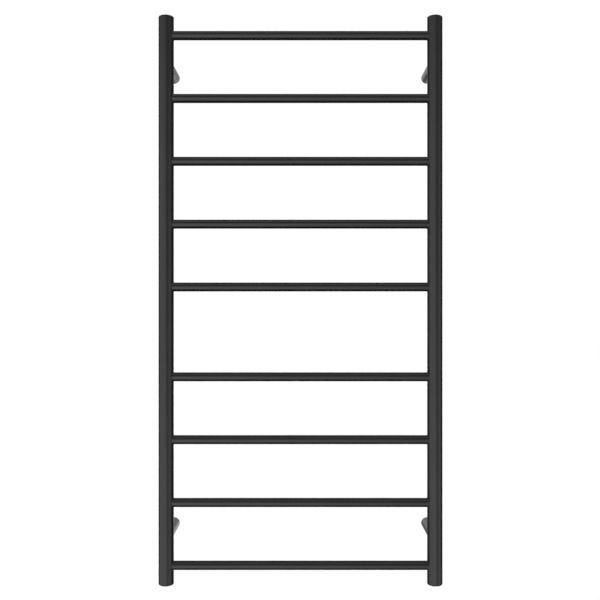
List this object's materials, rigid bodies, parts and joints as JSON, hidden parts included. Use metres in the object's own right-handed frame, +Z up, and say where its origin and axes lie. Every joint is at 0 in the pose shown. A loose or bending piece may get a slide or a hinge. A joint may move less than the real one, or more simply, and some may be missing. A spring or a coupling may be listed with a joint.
{
  "type": "towel warmer rack",
  "caption": "Wall-hung electric towel warmer: two round upright posts joined by round rails, on round standoffs over screwed wall bases, with a heating cable inside.",
  "frame": {"origin": "in the wall plane, midway between the four wall screws", "axes": "+X to the right of somebody facing the rack, +Y into the wall, +Z up"},
  "size_m": [0.6, 0.124, 1.2],
  "materials": {
    "satin_black": "satin powder coat",
    "cast_zinc": "fine cast, as turned",
    "screw_steel": "zinc plated",
    "grommet_rubber": "matt",
    "brown_insulation": "satin",
    "blue_insulation": "satin",
    "earth_insulation": "satin",
    "cutout_metal": "drawn",
    "black_sleeving": "satin",
    "red_silicone": "matt silicone",
    "tinned_copper": "tinned"
  },
  "bodies": {
    "wall_bases": {"left_top_wall_base": "cast_zinc", "right_top_wall_base": "cast_zinc", "left_bottom_wall_base": "cast_zinc", "right_bottom_wall_base": "cast_zinc", "cable_grommet": "grommet_rubber"},
    "rack": {"left_post": "satin_black", "right_post": "satin_black", "rail_1": "satin_black", "rail_2": "satin_black", "rail_3": "satin_black", "rail_4": "satin_black", "rail_5": "satin_black", "rail_6": "satin_black", "rail_7": "satin_black", "rail_8": "satin_black", "rail_9": "satin_black", "left_top_cap": "satin_black", "right_top_cap": "satin_black", "left_bottom_cap": "satin_black", "right_bottom_cap": "satin_black", "left_top_standoff": "satin_black", "right_top_standoff": "satin_black", "left_bottom_standoff": "satin_black", "right_bottom_standoff": "satin_black", "left_top_set_screw": "screw_steel", "right_top_set_screw": "screw_steel", "left_bottom_set_screw": "screw_steel", "right_bottom_set_screw": "screw_steel", "live_connector": "brown_insulation", "neutral_connector": "blue_insulation", "earth_connector": "earth_insulation", "live_lead": "brown_insulation", "neutral_lead": "blue_insulation", "earth_lead": "earth_insulation", "thermal_cutout": "cutout_metal", "cable_splice": "black_sleeving", "heating_cable": "red_silicone", "cable_end_seal": "black_sleeving", "earth_terminal": "tinned_copper", "earth_screw": "screw_steel"}
  },
  "joints": [
    {"name": "rack_slide", "type": "slide", "parent": "wall_bases", "child": "rack", "axis": [0, -1, 0], "range_m": [0, 0.025]}
  ]
}
